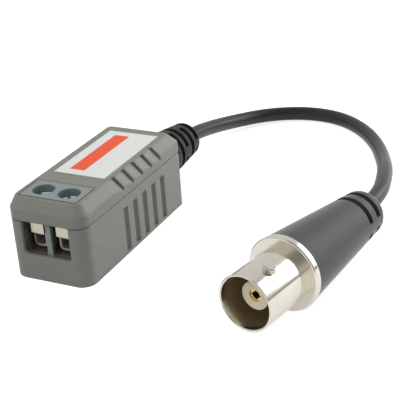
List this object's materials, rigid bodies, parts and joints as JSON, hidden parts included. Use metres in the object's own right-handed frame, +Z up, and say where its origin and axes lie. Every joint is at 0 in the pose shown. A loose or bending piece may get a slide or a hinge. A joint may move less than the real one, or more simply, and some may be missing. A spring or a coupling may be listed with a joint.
{
  "type": "cctv video balun",
  "caption": "Passive video balun: grey housing with a screw terminal in front, and a short coaxial lead that ends in a bayonet jack.",
  "frame": {"origin": "middle of the housing's underside, on the surface that it stands on", "axes": "+X along the housing from the screw terminal to the cable exit, +Z up; the jack lies on the -Y side"},
  "size_m": [0.0894, 0.0571, 0.0151],
  "materials": {
    "housing_plastic": "fine satin moulded surface",
    "label_film": "satin film, white with an orange bar",
    "terminal_plastic": "satin moulded surface",
    "screw_steel": "zinc plated",
    "nickel": "bright nickel plate",
    "board_laminate": "solder mask",
    "solder": "bright",
    "ferrite": "matt",
    "copper": "bright copper",
    "black_moulding": "matt",
    "component_ceramic": "dipped coating",
    "black_rubber": "satin moulded surface",
    "cable_jacket": "satin extruded surface",
    "core_insulation": "natural",
    "jack_nickel": "nickel plate on brass",
    "dielectric": "natural",
    "gold": "gold plate"
  },
  "bodies": {
    "housing": {"lower_shell": "housing_plastic", "upper_shell": "housing_plastic", "label": "label_film", "terminal_block": "terminal_plastic", "contact_bar_1": "nickel", "contact_bar_2": "nickel", "circuit_board": "board_laminate", "solder_joints": "solder", "toroid_core": "ferrite", "winding_a": "copper", "winding_b": "copper", "surge_suppressor": "black_moulding", "capacitor": "component_ceramic", "resistor": "component_ceramic", "strain_relief": "black_rubber", "cable": "cable_jacket", "core_tail": "core_insulation", "braid_tail": "copper", "jack_shell": "jack_nickel", "jack_insulator": "dielectric", "centre_contact": "gold", "plug_core": "core_insulation", "plug_wire": "copper", "plug_braid": "copper", "crimp_ferrule": "nickel", "connector_boot": "black_rubber"},
    "screw_1": {"terminal_screw_1": "screw_steel"},
    "screw_2": {"terminal_screw_2": "screw_steel"},
    "cage_1": {"clamp_cage_1": "nickel"},
    "cage_2": {"clamp_cage_2": "nickel"}
  },
  "joints": [
    {"name": "screw_1_turn", "type": "hinge", "parent": "housing", "child": "screw_1", "pos_m": [-0.0129, -0.00254, 0.0134], "axis": [0, 0, -1], "range_deg": [0, 1080]},
    {"name": "cage_1_rise", "type": "slide", "parent": "housing", "child": "cage_1", "axis": [0, 0, 1], "range_m": [0, 0.0012]},
    {"name": "screw_2_turn", "type": "hinge", "parent": "housing", "child": "screw_2", "pos_m": [-0.0129, 0.00254, 0.0134], "axis": [0, 0, -1], "range_deg": [0, 1080]},
    {"name": "cage_2_rise", "type": "slide", "parent": "housing", "child": "cage_2", "axis": [0, 0, 1], "range_m": [0, 0.0012]}
  ],
  "couplings": [
    {"joint": "screw_1_turn", "follows": "cage_1_rise", "rad_per_m": 15708},
    {"joint": "screw_2_turn", "follows": "cage_2_rise", "rad_per_m": 15708}
  ]
}
